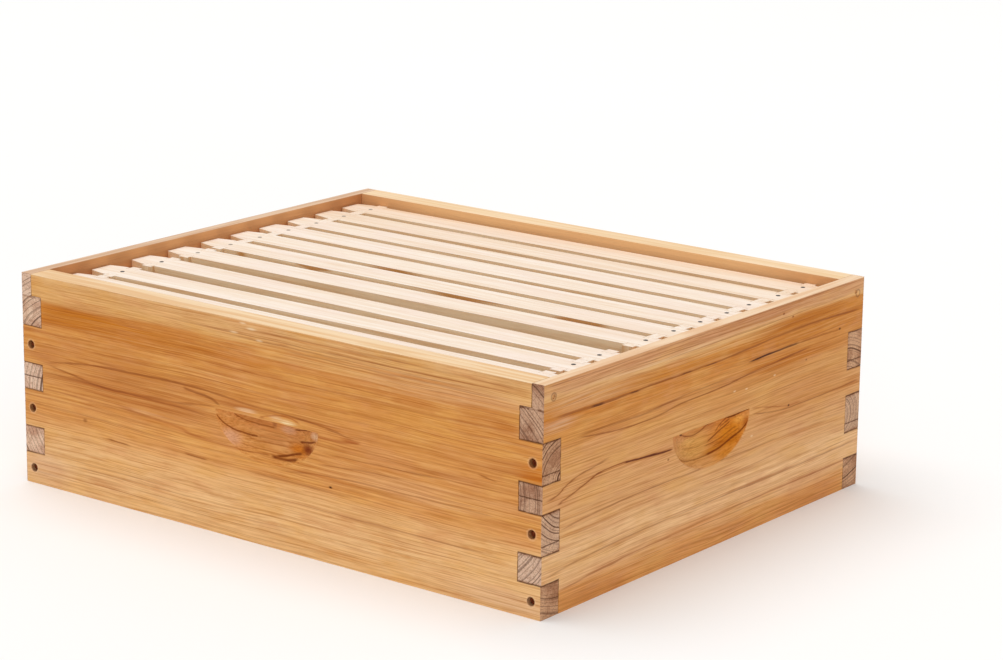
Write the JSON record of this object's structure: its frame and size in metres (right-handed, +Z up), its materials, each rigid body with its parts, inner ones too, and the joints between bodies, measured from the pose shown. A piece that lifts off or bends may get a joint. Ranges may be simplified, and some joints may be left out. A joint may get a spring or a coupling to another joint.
{
  "type": "langstroth hive box",
  "caption": "Finger-jointed wooden honey super with hand holds and a row of hanging self-spacing frames that lift out",
  "frame": {"origin": "middle of the box's footprint, on its lower edge", "axes": "+X along the box and its frames, +Y from the front side board to the rear one, +Z up"},
  "size_m": [0.5048, 0.4128, 0.1683],
  "materials": {
    "side_board": "waxed golden softwood, straight grain with cathedral figure",
    "end_board": "waxed golden softwood, end grain greyish at the joints",
    "top_bar": "bare planed pale softwood",
    "end_bar": "bare planed pale softwood",
    "bottom_bar": "bare planed pale softwood",
    "foundation": "wax-coated sheet embossed with cells",
    "nail": "dull steel, darkened"
  },
  "bodies": {
    "box": {"front_side_board": "side_board", "rear_side_board": "side_board", "left_end_board": "end_board", "right_end_board": "end_board"},
    "frame_01": {"frame_01_top_bar": "top_bar", "frame_01_left_end_bar": "end_bar", "frame_01_right_end_bar": "end_bar", "frame_01_bottom_bar": "bottom_bar", "frame_01_foundation": "foundation"},
    "frame_02": {"frame_02_top_bar": "top_bar", "frame_02_left_end_bar": "end_bar", "frame_02_right_end_bar": "end_bar", "frame_02_bottom_bar": "bottom_bar", "frame_02_foundation": "foundation"},
    "frame_03": {"frame_03_top_bar": "top_bar", "frame_03_left_end_bar": "end_bar", "frame_03_right_end_bar": "end_bar", "frame_03_bottom_bar": "bottom_bar", "frame_03_foundation": "foundation"},
    "frame_04": {"frame_04_top_bar": "top_bar", "frame_04_left_end_bar": "end_bar", "frame_04_right_end_bar": "end_bar", "frame_04_bottom_bar": "bottom_bar", "frame_04_foundation": "foundation"},
    "frame_05": {"frame_05_top_bar": "top_bar", "frame_05_left_end_bar": "end_bar", "frame_05_right_end_bar": "end_bar", "frame_05_bottom_bar": "bottom_bar", "frame_05_foundation": "foundation"},
    "frame_06": {"frame_06_top_bar": "top_bar", "frame_06_left_end_bar": "end_bar", "frame_06_right_end_bar": "end_bar", "frame_06_bottom_bar": "bottom_bar", "frame_06_foundation": "foundation"},
    "frame_07": {"frame_07_top_bar": "top_bar", "frame_07_left_end_bar": "end_bar", "frame_07_right_end_bar": "end_bar", "frame_07_bottom_bar": "bottom_bar", "frame_07_foundation": "foundation"},
    "frame_08": {"frame_08_top_bar": "top_bar", "frame_08_left_end_bar": "end_bar", "frame_08_right_end_bar": "end_bar", "frame_08_bottom_bar": "bottom_bar", "frame_08_foundation": "foundation"},
    "frame_09": {"frame_09_top_bar": "top_bar", "frame_09_left_end_bar": "end_bar", "frame_09_right_end_bar": "end_bar", "frame_09_bottom_bar": "bottom_bar", "frame_09_foundation": "foundation"},
    "frame_10": {"frame_10_top_bar": "top_bar", "frame_10_left_end_bar": "end_bar", "frame_10_right_end_bar": "end_bar", "frame_10_bottom_bar": "bottom_bar", "frame_10_foundation": "foundation"}
  },
  "joints": [
    {"name": "frame_01_lift", "type": "slide", "parent": "box", "child": "frame_01", "axis": [0, 0, 1], "range_m": [0, 0.175]},
    {"name": "frame_02_lift", "type": "slide", "parent": "box", "child": "frame_02", "axis": [0, 0, 1], "range_m": [0, 0.175]},
    {"name": "frame_03_lift", "type": "slide", "parent": "box", "child": "frame_03", "axis": [0, 0, 1], "range_m": [0, 0.175]},
    {"name": "frame_04_lift", "type": "slide", "parent": "box", "child": "frame_04", "axis": [0, 0, 1], "range_m": [0, 0.175]},
    {"name": "frame_05_lift", "type": "slide", "parent": "box", "child": "frame_05", "axis": [0, 0, 1], "range_m": [0, 0.175]},
    {"name": "frame_06_lift", "type": "slide", "parent": "box", "child": "frame_06", "axis": [0, 0, 1], "range_m": [0, 0.175]},
    {"name": "frame_07_lift", "type": "slide", "parent": "box", "child": "frame_07", "axis": [0, 0, 1], "range_m": [0, 0.175]},
    {"name": "frame_08_lift", "type": "slide", "parent": "box", "child": "frame_08", "axis": [0, 0, 1], "range_m": [0, 0.175]},
    {"name": "frame_09_lift", "type": "slide", "parent": "box", "child": "frame_09", "axis": [0, 0, 1], "range_m": [0, 0.175]},
    {"name": "frame_10_lift", "type": "slide", "parent": "box", "child": "frame_10", "axis": [0, 0, 1], "range_m": [0, 0.175]}
  ]
}
